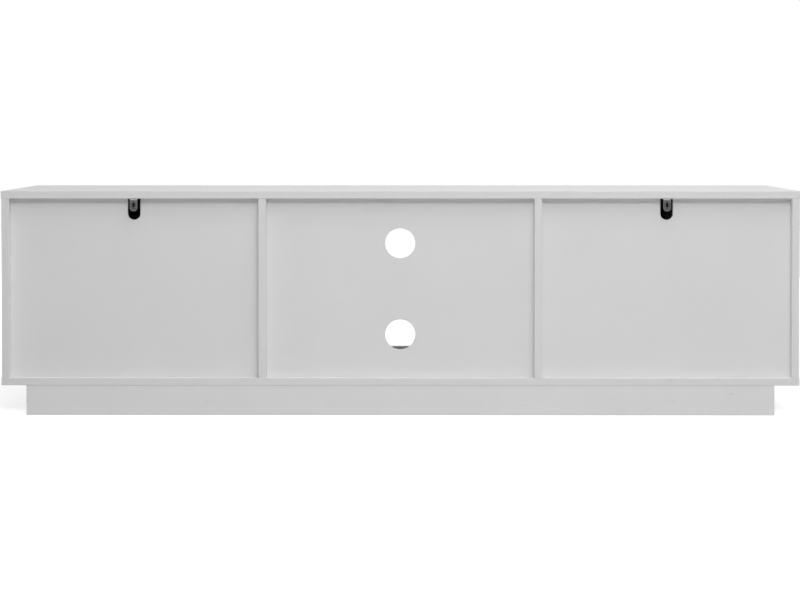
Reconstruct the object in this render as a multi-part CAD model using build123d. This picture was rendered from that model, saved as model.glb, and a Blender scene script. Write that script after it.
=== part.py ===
from build123d import *
import os

# Low TV stand: two doored side bays, an open centre bay with a shelf, a set-in plinth.
# Millimetres, +Z up, front faces -Y, origin on the floor under the middle of the stand.
# Left is -X, as seen from the front. The right half mirrors the left.

# Overall sizes
width = 1600.0
depth = 400.0
height = 450.0
board = 15.0
side_bay = 500.0
end_overhang = 1.0
edge_round = 0.8

# Plinth
plinth_height = 60.0
plinth_end_inset = 50.0
plinth_front_inset = 40.0
plinth_rear_inset = 1.0

# Back panels and their grooves
back_thick = 3.0
back_recess = 20.0
groove_depth = 5.0
groove_slack = 0.4
groove_end_slack = 1.0
cable_hole_radius = 30.0
cable_hole_from_middle = 92.0
cable_hole_low = 2.4
notch_width = 25.0
notch_drop = 43.3
notch_outward = 1.2
notch_ease = 0.7

# Doors
door_setback = 1.0
door_gap = 2.0
door_reveal = 1.5
door_end_gap = 2.5

# Centre bay
shelf_side_gap = 0.5
shelf_front_inset = 4.0
shelf_rear_gap = 1.0
lip_height = 24.0
pin_radius = 2.5
pin_in_board = 8.0
pin_reach = 9.0
pin_plate = 1.5
pin_plate_width = 10.0
pin_hole_step = 32.0
pin_row_inset = 55.0

# Cam fittings and dowels
cam_radius = 7.5
cam_depth = 12.0
cam_from_end = 34.0
cam_slot_half = 3.8
bolt_hole_radius = 4.0
bolt_shank_radius = 3.5
bolt_neck_radius = 2.2
bolt_thread_radius = 2.5
bolt_thread = 11.0
dowel_radius = 4.0
dowel_length = 30.0
dowel_in_face = 10.0
cam_row_inset = 45.0
dowel_from_cam = 32.0

# Wood screws
screw_radius = 1.6
screw_length = 11.0
screw_head_radius = 3.3
screw_head = 1.8
screw_clearance = 0.3

# Wall anchors
anchor_width = 15.0
anchor_thick = 1.5
anchor_bend = 3.0
anchor_drop = 25.5
anchor_reach = 48.0
anchor_inset = 1.5
anchor_slot_width = 5.0
anchor_slot_length = 9.6
anchor_slot_drop = 12.8

# Plinth angle brackets
angle_leg = 25.0
angle_width = 16.0
angle_thick = 1.5
angle_spread = 0.68

# Push latches and bumpers
latch_from_top = 105.0
latch_width = 16.0
latch_tall = 20.0
latch_long = 72.0
latch_front_gap = 1.5
latch_round = 2.0
latch_ear = 3.0
latch_ear_long = 26.0
latch_ear_tall = 42.0
plunger_radius = 5.0
plunger_play = 0.05
plunger_long = 46.0
plunger_bore = 62.0
strike_width = 14.0
strike_tall = 38.0
strike_thick = 1.0
strike_screw_step = 13.0
bumper_radius = 4.0
bumper_inset = 22.0

# Concealed hinges. Pivots are in plan: inward from the side's outer face, back from the door's rear face.
main_arm_pivot = (29.73, -6.88)
main_cup_pivot = (13.88, -4.01)
guide_arm_pivot = (37.96, 3.4)
guide_cup_pivot = (12.23, -2.4)
hinge_from_end = 75.0
cup_radius = 17.5
cup_depth = 11.5
cup_wall = 1.0
cup_from_edge = 21.5
flange_thick = 1.0
flange_radius = 19.5
wing_width = 14.0
wing_tall = 62.0
wing_shift = 6.0
wing_screw_step = 24.0
pivot_radius = 1.0
pivot_play = 0.05
link_half = 1.8
link_layer = (0.3, 5.0)
cheek_layer = (5.3, 6.8)
eye_radius = 1.9
flange_relief = 0.8
arm_top = 32.0
arm_run = (20.0, 66.0)
plate_line = 37.0
plate_thick = 2.5
plate_wide = 20.0
plate_tall = 50.0
plate_screw_step = 16.0
rib_play = 0.1

# Levels and lines that the boards share
back_y = depth / 2
bay_floor = plinth_height + board
bay_top = height - board
bay_mid = (bay_floor + bay_top) / 2
side_out = -(width / 2 - end_overhang)
side_in = side_out + board
div_out = side_in + side_bay
div_in = div_out + board
div_mid = (div_out + div_in) / 2
bay_middle_x = (side_in + div_out) / 2
door_front_y = -depth / 2 + door_setback
door_back_y = door_front_y + board
carcass_front_y = door_back_y + door_gap
back_rear_y = back_y - back_recess
back_front_y = back_rear_y - back_thick
groove_rear_y = back_rear_y + groove_slack
cam_rows = (carcass_front_y + cam_row_inset, back_front_y - cam_row_inset)
dowel_rows = (cam_rows[0] + dowel_from_cam, cam_rows[1] - dowel_from_cam)
plinth_end_x = width / 2 - plinth_end_inset
plinth_front_y = -depth / 2 + plinth_front_inset
plinth_rear_y = back_y - plinth_rear_inset
door_low_z = bay_floor + door_end_gap
door_high_z = bay_top - door_end_gap
door_edge_x = side_out + door_reveal
UP = (0, 0, 1)
LOW = (Align.CENTER, Align.CENTER, Align.MIN)
HIGH = (Align.CENTER, Align.CENTER, Align.MAX)


def slab(x0, x1, y0, y1, z0, z1):
    """Plain block between two corners."""
    return Pos((x0 + x1) / 2, (y0 + y1) / 2, (z0 + z1) / 2) * Box(x1 - x0, y1 - y0, z1 - z0)


def rod(radius, start, end):
    """Round bar from one point to another."""
    way = Vector(*end) - Vector(*start)
    return Plane(origin=start, z_dir=way) * Cylinder(radius, way.length, align=LOW)


def eased(shape, axis):
    """Shape with its edges along one axis rounded, as banded board edges are."""
    return fillet(shape.edges().filter_by(axis), edge_round)


def panel(x0, x1, y0, y1, z0, z1):
    """Board with every edge rounded."""
    shape = slab(x0, x1, y0, y1, z0, z1)
    return fillet(shape.edges(), edge_round)


def mirrored(shape):
    """The same piece on the other side of the stand."""
    return mirror(shape, about=Plane.YZ)


def both(shapes):
    """Pieces of the left half together with their right-hand twins."""
    return list(shapes) + [mirrored(s) for s in shapes]


def group(shapes):
    """Separate like pieces that share one node."""
    return Compound(children=list(shapes))


def screw_at(seat, way):
    """Pan-head screw with its head on a point and its thread along a direction."""
    thread = Cylinder(screw_radius, screw_length, align=LOW)
    head = Cylinder(screw_head_radius, screw_head, align=HIGH)
    head = fillet(head.edges().sort_by(Axis.Z)[0], screw_head * 0.6)
    cross = Box(screw_head_radius, 0.8, 1.6) + Box(0.8, screw_head_radius, 1.6)
    return Plane(origin=seat, z_dir=way) * (thread + head - Pos(0, 0, -screw_head) * cross)


def screw_pilot(seat, way):
    """Hole that a screw's thread fills."""
    return Plane(origin=seat, z_dir=way) * Cylinder(screw_radius, screw_length, align=LOW)


def screw_pass(seat, way, plate):
    """Clearance hole through the plate under a screw's head."""
    return Plane(origin=seat, z_dir=way) * Cylinder(screw_radius + screw_clearance, plate, align=LOW)


def cam_set(face_x, face, mid, y, end_z, up):
    """One cam fitting at an upright's end: its disc, its bolt, and the holes for both."""
    cam_z = end_z - up * cam_from_end
    deep_x = face_x - face * cam_depth
    bore = rod(cam_radius, (deep_x, y, cam_z), (face_x, y, cam_z))
    slot_x = sorted((deep_x, mid + face * cam_slot_half))
    slot_z = sorted((cam_z - up * cam_slot_half, cam_z + up * (cam_radius + 1)))
    slot = slab(*slot_x, y - cam_slot_half, y + cam_slot_half, *slot_z)
    cross = Box(1.6, 6.4, 1.4) + Box(1.6, 1.4, 6.4)
    disc = bore - slot - Pos(face_x, y, cam_z) * cross
    neck_z = cam_z + up * (cam_radius + 2)
    head = rod(bolt_shank_radius, (mid, y, cam_z - up * 2), (mid, y, cam_z + up * 2))
    neck = rod(bolt_neck_radius, (mid, y, cam_z), (mid, y, neck_z))
    shank = rod(bolt_shank_radius, (mid, y, neck_z), (mid, y, end_z))
    thread = rod(bolt_thread_radius, (mid, y, end_z), (mid, y, end_z + up * bolt_thread))
    hole = rod(bolt_hole_radius, (mid, y, end_z), (mid, y, cam_z))
    return disc, head + neck + shank + thread, bore + hole, thread


def dowel_at(point, way):
    """Dowel across a joint, its shorter end in the face board."""
    start = Vector(*point) + Vector(*way) * dowel_in_face
    end = start - Vector(*way) * dowel_length
    return rod(dowel_radius, tuple(end), tuple(start))


def plan(pivot, z):
    """Point of the left-hand hinge plan at a height."""
    return (side_out + pivot[0], door_back_y + pivot[1], z)


def hinge_pins(z):
    """Rivets of one hinge: two in the arm and two in the cup, each on its own link's side."""
    near, far = link_layer
    arm_pins = [
        rod(pivot_radius, plan(main_arm_pivot, z - cheek_layer[1]), plan(main_arm_pivot, z - near)),
        rod(pivot_radius, plan(guide_arm_pivot, z + near), plan(guide_arm_pivot, z + cheek_layer[1])),
    ]
    reach = []
    for pivot in (main_cup_pivot, guide_cup_pivot):
        off = abs(pivot[0] - door_reveal - cup_from_edge) + pivot_radius
        reach.append(((cup_radius - cup_wall / 4) ** 2 - off**2) ** 0.5)
    cup_pins = [
        rod(pivot_radius, plan(main_cup_pivot, z - reach[0]), plan(main_cup_pivot, z - near)),
        rod(pivot_radius, plan(guide_cup_pivot, z + far + near), plan(guide_cup_pivot, z + reach[1])),
    ]
    return arm_pins, cup_pins


def hinge_link(start, end, low, high, eyes):
    """Flat link between two pivots, bored at the pivots that carry it."""
    a = Vector(*plan(start, low))
    b = Vector(*plan(end, low))
    spot = Plane(origin=(a + b) / 2, x_dir=b - a, z_dir=UP)
    bar = extrude(spot * SlotCenterToCenter((b - a).length, 2 * link_half), high - low)
    return bar - [rod(pivot_radius + pivot_play, plan(e, low), plan(e, high)) for e in eyes]


def hinge_cup(z, pins):
    """Pressed cup with screw wings, and its seats for two screws."""
    face = Plane(origin=plan((door_reveal + cup_from_edge, 0), z), x_dir=(1, 0, 0), z_dir=(0, 1, 0))
    bowl = face * Cylinder(cup_radius, cup_depth, align=HIGH)
    wings = Pos(wing_shift, 0) * RectangleRounded(wing_width, wing_tall, wing_width * 0.35)
    flange = extrude(face * (Circle(flange_radius) + wings), flange_thick)
    half = cheek_layer[1] + flange_relief
    flange = flange - face * Box(4 * flange_radius, 2 * half, 4 * flange_thick)
    hollow = Cylinder(cup_radius - cup_wall, cup_depth, align=LOW)
    hollow = face * Pos(0, 0, cup_wall - cup_depth) * hollow
    seat_x = door_reveal + cup_from_edge + wing_shift
    seats = [plan((seat_x, flange_thick), z + s * wing_screw_step) for s in (-1, 1)]
    holes = [screw_pass(seat, (0, -1, 0), flange_thick) for seat in seats]
    return bowl + flange - hollow - pins - holes, bowl, seats


def hinge_arm(z, pins):
    """Channel-shaped arm whose two cheeks carry the links."""
    low_u = board + plate_thick
    rear_mid = Pos((low_u + arm_top) / 2, sum(arm_run) / 2)
    rear = rear_mid * Rectangle(arm_top - low_u, arm_run[1] - arm_run[0])
    eyes = [Pos(*pivot) * Circle(eye_radius) for pivot in (main_arm_pivot, guide_arm_pivot)]
    outline = make_hull(rear.edges() + eyes[0].edges() + eyes[1].edges())
    near, far = cheek_layer
    cheeks = []
    for low in (z - far, z + near):
        spot = Plane(origin=plan((0, 0), low), x_dir=(1, 0, 0), z_dir=UP)
        cheeks.append(extrude(spot * outline, far - near))
    web_x = (side_out + arm_top - (far - near), side_out + arm_top)
    web = slab(*web_x, door_back_y + arm_run[0], door_back_y + arm_run[1], z - far, z + far)
    seat = (web_x[1], carcass_front_y + plate_line + plate_wide * 0.6, z)
    hole = screw_pass(seat, (-1, 0, 0), far - near)
    return web + cheeks[0] + cheeks[1] - pins - hole, seat


def hinge_plate(z, arm_seat):
    """Mounting plate on the side panel with the rib that the arm sits on, and its screw seats."""
    line_y = carcass_front_y + plate_line
    spot = Plane(origin=(side_in, line_y, z), x_dir=(0, 1, 0), z_dir=(1, 0, 0))
    base = extrude(spot * RectangleRounded(plate_wide, plate_tall, plate_wide * 0.3), plate_thick)
    half = cheek_layer[0] - rib_play
    rib_top = side_out + arm_top - (cheek_layer[1] - cheek_layer[0])
    rib_y = (line_y - plate_wide / 2, line_y + plate_wide)
    rib = slab(side_in, rib_top, *rib_y, z - half, z + half)
    seats = [(side_in + plate_thick, line_y, z + s * plate_screw_step) for s in (-1, 1)]
    holes = [screw_pass(seat, (-1, 0, 0), plate_thick) for seat in seats]
    return base + rib - holes - screw_pilot(arm_seat, (-1, 0, 0)), seats


parts = {}

# Cam joints: each upright meets the top and the bottom with two cams and two dowels per end.
cams = []
bolts = []
dowels = []
face_holes = []
upright_holes = {}
for name, face_x, face, mid in (
    ("side", side_in, 1, side_in - board / 2),
    ("divider", div_out, -1, div_out + board / 2),
):
    holes = []
    for end_z, up in ((bay_top, 1), (bay_floor, -1)):
        for y in cam_rows:
            disc, bolt, hole, thread = cam_set(face_x, face, mid, y, end_z, up)
            cams.append(disc)
            bolts.append(bolt)
            holes.append(hole)
            face_holes.append(thread)
        for y in dowel_rows:
            peg = dowel_at((mid, y, end_z), (0, 0, up))
            dowels.append(peg)
            holes.append(peg)
            face_holes.append(peg)
    upright_holes[name] = holes

# Wall anchors: a steel strap under the top, bent down behind each notch.
anchor_y = back_y - anchor_inset
anchor_x = (bay_middle_x - anchor_width / 2, bay_middle_x + anchor_width / 2)
bend_y = anchor_y - anchor_bend
bend_z = bay_top - anchor_bend
strap = slab(*anchor_x, anchor_y - anchor_reach, bend_y, bay_top - anchor_thick, bay_top)
leg = slab(*anchor_x, anchor_y - anchor_thick, anchor_y, bay_top - anchor_drop, bend_z)
leg = fillet(leg.edges().filter_by(Axis.Y).group_by(Axis.Z)[0], anchor_width * 0.48)
bend_ends = ((anchor_x[0], bend_y, bend_z), (anchor_x[1], bend_y, bend_z))
bend = rod(anchor_bend, *bend_ends) - rod(anchor_bend - anchor_thick, *bend_ends)
bend = bend & slab(*anchor_x, bend_y, anchor_y, bend_z, bay_top)
slot_at = Plane(origin=(bay_middle_x, anchor_y, bay_top - anchor_slot_drop), x_dir=UP, z_dir=(0, 1, 0))
slot = extrude(slot_at * SlotOverall(anchor_slot_length, anchor_slot_width), -2 * anchor_thick)
anchor_seats = []
for share in (0.68, 0.88):
    anchor_seats.append((bay_middle_x, anchor_y - anchor_reach * share, bay_top - anchor_thick))
anchor_holes = [screw_pass(s, UP, anchor_thick) for s in anchor_seats]
anchor = strap + leg + bend - slot - anchor_holes
parts["left_wall_anchor"] = anchor
parts["right_wall_anchor"] = mirrored(anchor)
case_screws = both([screw_at(s, UP) for s in anchor_seats])
top_pilots = both([screw_pilot(s, UP) for s in anchor_seats])

# Front lip rail of the open bay, pegged to the bottom panel.
lip = slab(div_in, -div_in, carcass_front_y, carcass_front_y + board, bay_floor, bay_floor + lip_height)
lip = fillet(lip.edges().filter_by(Axis.X).group_by(Axis.Z)[-1], edge_round)
lip_peg = dowel_at((div_in * 0.55, carcass_front_y + board / 2, bay_floor), (0, 0, -1))
lip_pegs = both([lip_peg])
parts["front_lip_rail"] = lip - lip_pegs

# Plinth: front and rear boards, two ends and two braces under the dividers.
front_y = (plinth_front_y, plinth_front_y + board)
rear_y = (plinth_rear_y - board, plinth_rear_y)
long_x = (-plinth_end_x, plinth_end_x)
plinth_front = eased(slab(*long_x, *front_y, 0, plinth_height), Axis.Z)
plinth_rear = eased(slab(*long_x, *rear_y, 0, plinth_height), Axis.Z)
plinth_pegs = []
cross_boards = {}
for name, x0 in (("end", -plinth_end_x), ("brace", div_mid - board / 2)):
    pegs = []
    for z in (plinth_height / 3, plinth_height * 2 / 3):
        pegs.append(dowel_at((x0 + board / 2, front_y[1], z), (0, -1, 0)))
        pegs.append(dowel_at((x0 + board / 2, rear_y[0], z), (0, 1, 0)))
    cross_boards[name] = slab(x0, x0 + board, front_y[1], rear_y[0], 0, plinth_height) - pegs
    plinth_pegs += both(pegs)

# Angle brackets that hold the plinth under the bottom panel.
leg_h = slab(-angle_width / 2, angle_width / 2, 0, angle_leg, -angle_thick, 0)
leg_v = slab(-angle_width / 2, angle_width / 2, 0, angle_thick, -angle_leg, 0)
angle_seats = (((0, angle_leg * 0.6, -angle_thick), UP), ((0, angle_thick, -angle_leg * 0.6), (0, -1, 0)))
angle_holes = [screw_pass(seat, way, angle_thick) for seat, way in angle_seats]
angle = leg_h + leg_v - angle_holes
angle_spots = []
for x in (-plinth_end_x * angle_spread, 0, plinth_end_x * angle_spread):
    angle_spots.append(Plane(origin=(x, front_y[1], plinth_height), x_dir=(1, 0, 0), z_dir=UP))
    angle_spots.append(Plane(origin=(x, rear_y[0], plinth_height), x_dir=(-1, 0, 0), z_dir=UP))
for side in (-1, 1):
    spot = (side * (plinth_end_x - board), (front_y[1] + rear_y[0]) / 2, plinth_height)
    angle_spots.append(Plane(origin=spot, x_dir=(0, side, 0), z_dir=UP))
plinth_pilots = []
angles = []
for spot in angle_spots:
    angles.append(spot * angle)
    case_screws += [spot * screw_at(seat, way) for seat, way in angle_seats]
    plinth_pilots += [spot * screw_pilot(seat, way) for seat, way in angle_seats]
parts["plinth_angle_brackets"] = group(angles)
parts["plinth_front_board"] = plinth_front - plinth_pegs - plinth_pilots
parts["plinth_rear_board"] = plinth_rear - plinth_pegs - plinth_pilots
parts["plinth_left_end"] = cross_boards["end"] - plinth_pilots
parts["plinth_right_end"] = mirrored(cross_boards["end"]) - plinth_pilots
parts["plinth_left_brace"] = cross_boards["brace"]
parts["plinth_right_brace"] = mirrored(cross_boards["brace"])

# Top and bottom panels, grooved for the back panels.
groove_x = (side_in - groove_depth, -side_in + groove_depth)
top = panel(-width / 2, width / 2, -depth / 2, back_y, bay_top, height)
top = top - slab(*groove_x, back_front_y, groove_rear_y, bay_top, bay_top + groove_depth)
bottom = panel(-width / 2, width / 2, -depth / 2, back_y, plinth_height, bay_floor)
bottom = bottom - slab(*groove_x, back_front_y, groove_rear_y, bay_floor - groove_depth, bay_floor)
joint_holes = both(face_holes)
parts["top_panel"] = top - joint_holes - top_pilots
parts["bottom_panel"] = bottom - joint_holes - lip_pegs - plinth_pilots

# Shelf and the spoon pins that carry it; each row has a spare hole above and below.
shelf_under = bay_mid - board / 2
shelf_y = (carcass_front_y + shelf_front_inset, back_front_y - shelf_rear_gap)
shelf_x = div_in + shelf_side_gap
shelf = slab(shelf_x, -shelf_x, *shelf_y, shelf_under, shelf_under + board)
parts["centre_shelf"] = fillet(shelf.edges().filter_by(Axis.X), edge_round)
pin_rows = (shelf_y[0] + pin_row_inset, shelf_y[1] - pin_row_inset)
pin_z = shelf_under - pin_radius
pins = []
pin_holes = []
for y in pin_rows:
    peg = rod(pin_radius, (div_in - pin_in_board, y, pin_z), (div_in + 1, y, pin_z))
    half = pin_plate_width / 2
    plate = slab(div_in, div_in + pin_reach, y - half, y + half, shelf_under - pin_plate, shelf_under)
    plate = fillet(plate.edges().filter_by(Axis.Z).group_by(Axis.X)[-1], half * 0.8)
    pins.append(peg + plate)
    for step in (-1, 0, 1):
        z = pin_z + step * pin_hole_step
        pin_holes.append(rod(pin_radius, (div_in - pin_in_board, y, z), (div_in, y, z)))
parts["shelf_pins"] = group(both(pins))

# Push latch on each divider, its plunger against a strike plate on the door.
latch_y = carcass_front_y + latch_front_gap
latch_z = bay_top - latch_from_top
latch_x = div_out - latch_width / 2
body_z = (latch_z - latch_tall / 2, latch_z + latch_tall / 2)
body = slab(div_out - latch_width, div_out, latch_y, latch_y + latch_long, *body_z)
body = fillet(body.edges().filter_by(Axis.Y).group_by(Axis.X)[0], latch_round)
ear_y = latch_y + latch_long / 2
ear_z = (latch_z - latch_ear_tall / 2, latch_z + latch_ear_tall / 2)
ear = slab(div_out - latch_ear, div_out, ear_y - latch_ear_long / 2, ear_y + latch_ear_long / 2, *ear_z)
ear = fillet(ear.edges().filter_by(Axis.X), latch_round * 2)
ear_step = (latch_tall + latch_ear_tall) / 4
latch_seats = [(div_out - latch_ear, ear_y, latch_z + s * ear_step) for s in (-1, 1)]
ear_holes = [screw_pass(s, (1, 0, 0), latch_ear) for s in latch_seats]
bore_end = (latch_x, latch_y + plunger_bore, latch_z)
latch_bore = rod(plunger_radius + plunger_play, (latch_x, latch_y, latch_z), bore_end)
latch_body = body + ear - ear_holes - latch_bore
tip_y = door_back_y + strike_thick
plunger = rod(plunger_radius, (latch_x, tip_y, latch_z), (latch_x, tip_y + plunger_long, latch_z))
plunger = fillet(plunger.edges().sort_by(Axis.Y)[0], 0.6)
parts["left_latch_body"] = latch_body
parts["right_latch_body"] = mirrored(latch_body)
parts["left_latch_plunger"] = plunger
parts["right_latch_plunger"] = mirrored(plunger)
case_screws += both([screw_at(s, (1, 0, 0)) for s in latch_seats])
latch_pilots = [screw_pilot(s, (1, 0, 0)) for s in latch_seats]
strike_x = (latch_x - strike_width / 2, latch_x + strike_width / 2)
strike = slab(*strike_x, door_back_y, tip_y, latch_z - strike_tall / 2, latch_z + strike_tall / 2)
strike = fillet(strike.edges().filter_by(Axis.Y), strike_width * 0.3)
strike_seats = [(latch_x, tip_y, latch_z + s * strike_screw_step) for s in (-1, 1)]
strike = strike - [screw_pass(s, (0, -1, 0), strike_thick) for s in strike_seats]
parts["left_strike_plate"] = strike
parts["right_strike_plate"] = mirrored(strike)
door_screws = [screw_at(s, (0, -1, 0)) for s in strike_seats]
door_pilots = [screw_pilot(s, (0, -1, 0)) for s in strike_seats]

# Clear bumpers on the dividers' front edges.
bumpers = []
for z in (bay_floor + bumper_inset, bay_top - bumper_inset):
    bumpers.append(rod(bumper_radius, (div_mid, carcass_front_y, z), (div_mid, door_back_y, z)))
parts["door_bumpers"] = group(both(bumpers))

# Concealed hinges: two on each door.
side_pilots = []
cup_bores = []
arm_rivets = []
cup_rivets = []
for place, z in (("lower", door_low_z + hinge_from_end), ("upper", door_high_z - hinge_from_end)):
    arm_pins, cup_pins = hinge_pins(z)
    arm_rivets += arm_pins
    cup_rivets += cup_pins
    near, far = link_layer
    arm, arm_seat = hinge_arm(z, arm_pins)
    plate, plate_seats = hinge_plate(z, arm_seat)
    cup, bore, cup_seats = hinge_cup(z, cup_pins)
    main_eyes = (main_arm_pivot, main_cup_pivot)
    hinge = {
        "cup": cup,
        "arm": arm,
        "plate": plate,
        "main_link": hinge_link(*main_eyes, z - far, z - near, main_eyes),
        "guide_link": hinge_link(guide_arm_pivot, guide_cup_pivot, z + near, z + far, (guide_arm_pivot,)),
    }
    for name, shape in hinge.items():
        parts[f"left_{place}_hinge_{name}"] = shape
        parts[f"right_{place}_hinge_{name}"] = mirrored(shape)
    case_screws += both([screw_at(seat, (-1, 0, 0)) for seat in plate_seats + [arm_seat]])
    side_pilots += [screw_pilot(seat, (-1, 0, 0)) for seat in plate_seats]
    cup_bores.append(bore)
    door_screws += [screw_at(seat, (0, -1, 0)) for seat in cup_seats]
    door_pilots += [screw_pilot(seat, (0, -1, 0)) for seat in cup_seats]
parts["hinge_arm_rivets"] = group(both(arm_rivets))
parts["left_hinge_cup_rivets"] = group(cup_rivets)
parts["right_hinge_cup_rivets"] = group([mirrored(r) for r in cup_rivets])

# Uprights.
upright_y = (carcass_front_y, back_y)
side = eased(slab(side_out, side_in, *upright_y, bay_floor, bay_top), Axis.Z)
side = side - slab(side_in - groove_depth, side_in, back_front_y, groove_rear_y, bay_floor, bay_top)
side = side - upright_holes["side"] - side_pilots
parts["left_side_panel"] = side
parts["right_side_panel"] = mirrored(side)
divider = eased(slab(div_out, div_in, *upright_y, bay_floor, bay_top), Axis.Z)
for x0, x1 in ((div_out, div_out + groove_depth), (div_in - groove_depth, div_in)):
    divider = divider - slab(x0, x1, back_front_y, groove_rear_y, bay_floor, bay_top)
divider = divider - upright_holes["divider"] - pin_holes - latch_pilots
parts["left_divider"] = divider
parts["right_divider"] = mirrored(divider)

# Back panels: the side ones notched for the wall anchors, the centre one bored for cables.
tongue = groove_depth - groove_end_slack
back_y_range = (back_front_y, back_rear_y)
back_z = (bay_floor - groove_depth, bay_top + tongue)
notch_round_z = bay_top - notch_drop + notch_width / 2
notch_middle_x = bay_middle_x - notch_outward
notch_x = (notch_middle_x - notch_width / 2, notch_middle_x + notch_width / 2)
notch = slab(*notch_x, *back_y_range, notch_round_z, back_z[1])
notch_ends = ((notch_middle_x, y, notch_round_z) for y in back_y_range)
notch = notch + rod(notch_width / 2, *notch_ends)
side_back = slab(side_in - tongue, div_out + tongue, *back_y_range, *back_z) - notch
rim = notch.edges().group_by(Axis.Y)[-1].filter_by(lambda e: e.center().Z < bay_top)
rim_at = [e.center() for e in rim]
rim = side_back.edges().filter_by(lambda e: any((e.center() - c).length < 0.01 for c in rim_at))
side_back = chamfer(rim, notch_ease)
centre_back = slab(div_in - tongue, -div_in + tongue, *back_y_range, *back_z)
for step in (-1, 1):
    z = bay_mid - cable_hole_low + step * cable_hole_from_middle
    centre_back = centre_back - rod(cable_hole_radius, (0, back_front_y, z), (0, back_rear_y, z))
parts["left_back_panel"] = side_back
parts["right_back_panel"] = mirrored(side_back)
parts["centre_back_panel"] = centre_back

# Doors.
door = panel(door_edge_x, div_in - door_reveal, door_front_y, door_back_y, door_low_z, door_high_z)
parts["left_door"] = door - cup_bores - door_pilots
parts["right_door"] = mirrored(parts["left_door"])

# Fasteners that share a node.
parts["cam_discs"] = group(both(cams))
parts["cam_bolts"] = group(both(bolts))
parts["dowels"] = group(both(dowels) + lip_pegs + plinth_pegs)
parts["case_screws"] = group(case_screws)
parts["left_door_screws"] = group(door_screws)
parts["right_door_screws"] = group([mirrored(s) for s in door_screws])

os.makedirs("parts", exist_ok=True)
for name, shape in parts.items():
    export_step(shape, f"parts/{name}.step")
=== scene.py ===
"""Low TV stand with doors, seen from behind: finishes, small pressed and moulded pieces, and the studio.

Metres, +Z up, front towards -Y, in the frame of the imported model. Left is -X, as seen from the front.
"""

import logging
import math
from collections.abc import Sequence
from dataclasses import dataclass
from enum import Enum
from functools import partial

import bmesh
import bpy
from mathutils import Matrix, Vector


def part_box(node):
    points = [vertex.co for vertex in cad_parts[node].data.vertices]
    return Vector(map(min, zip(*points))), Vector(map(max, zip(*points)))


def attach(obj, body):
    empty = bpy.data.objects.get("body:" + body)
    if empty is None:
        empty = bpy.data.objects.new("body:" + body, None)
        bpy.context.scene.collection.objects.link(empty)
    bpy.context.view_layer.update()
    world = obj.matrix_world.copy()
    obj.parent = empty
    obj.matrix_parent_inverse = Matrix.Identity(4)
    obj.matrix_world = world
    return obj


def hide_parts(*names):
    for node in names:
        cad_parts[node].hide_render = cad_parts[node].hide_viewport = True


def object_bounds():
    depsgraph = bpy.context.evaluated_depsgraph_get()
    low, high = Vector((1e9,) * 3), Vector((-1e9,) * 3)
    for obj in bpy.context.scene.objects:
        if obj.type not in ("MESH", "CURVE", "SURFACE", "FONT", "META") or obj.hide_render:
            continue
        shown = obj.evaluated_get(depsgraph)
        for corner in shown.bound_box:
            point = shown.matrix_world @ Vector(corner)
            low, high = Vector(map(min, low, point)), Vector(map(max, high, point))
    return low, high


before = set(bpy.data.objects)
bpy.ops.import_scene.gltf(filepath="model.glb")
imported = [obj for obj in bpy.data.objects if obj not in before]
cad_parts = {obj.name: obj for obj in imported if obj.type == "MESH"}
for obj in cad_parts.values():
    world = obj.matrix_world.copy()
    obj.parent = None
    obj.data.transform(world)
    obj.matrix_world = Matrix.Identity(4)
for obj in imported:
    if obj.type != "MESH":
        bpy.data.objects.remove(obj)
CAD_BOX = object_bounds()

LOG = logging.getLogger("tv_stand")
MM = 0.001
QUARTER_TURN = math.pi / 2
SIDES = ("left", "right")
HINGE_PLACES = ("lower", "upper")
# Most values of a noise pattern lie between these two.
NOISE_SPAN = (0.3, 0.7)
# An edge that turns further than this is a crease.
CREASE_ANGLE = math.radians(50)
# Point in the rear half of the stand that most lamps face.
LAMP_AIM = (0.0, 0.15, 0.25)

Colour = tuple[float, float, float, float]
Span = tuple[float, float]
Place = tuple[float, float, float]
Tones = tuple[str, str]
Material = bpy.types.Material
NodeTree = bpy.types.NodeTree
Socket = bpy.types.NodeSocket
Mesh = bmesh.types.BMesh
Points = list[bmesh.types.BMVert]
Edges = list[bmesh.types.BMEdge]


def linear(hex_colour: str) -> Colour:
    """Turn an sRGB hex colour into the linear colour that a shader takes.

    Args:
        hex_colour: Colour as it looks on screen, such as "#DDDDDD".

    Returns:
        Linear red, green, blue and an alpha of 1.
    """
    channels = [int(hex_colour[i : i + 2], 16) / 255 for i in (1, 3, 5)]
    flat = [c / 12.92 if c <= 0.04045 else ((c + 0.055) / 1.055) ** 2.4 for c in channels]
    return (flat[0], flat[1], flat[2], 1.0)


def per_metre(size_mm: float) -> float:
    """Scale of a pattern whose marks are this many millimetres across."""
    return 1.0 / (size_mm * MM)


def add_node(
    tree: NodeTree,
    kind: str,
    inputs: dict[str | int, object] | Sequence[object] = (),
    output: str | int = 0,
    **settings: object,
) -> Socket | None:
    """Add one node with its settings, values and links.

    Args:
        tree: Node tree that takes the node.
        kind: Blender's name for the node, without the ShaderNode that all of them start with.
        inputs: A value or the socket that feeds it for each input, in order, or by name or number.
        output: Name or number of the output that is wanted.
        settings: Properties of the node itself.

    Returns:
        The wanted output, or None from a node that has none.
    """
    node = tree.nodes.new(f"ShaderNode{kind}")
    for name, value in settings.items():
        setattr(node, name, value)
    pairs = inputs.items() if isinstance(inputs, dict) else enumerate(inputs)
    for key, value in pairs:
        if isinstance(value, Socket):
            tree.links.new(value, node.inputs[key])
        else:
            node.inputs[key].default_value = value
    return node.outputs[output] if node.outputs else None


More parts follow.
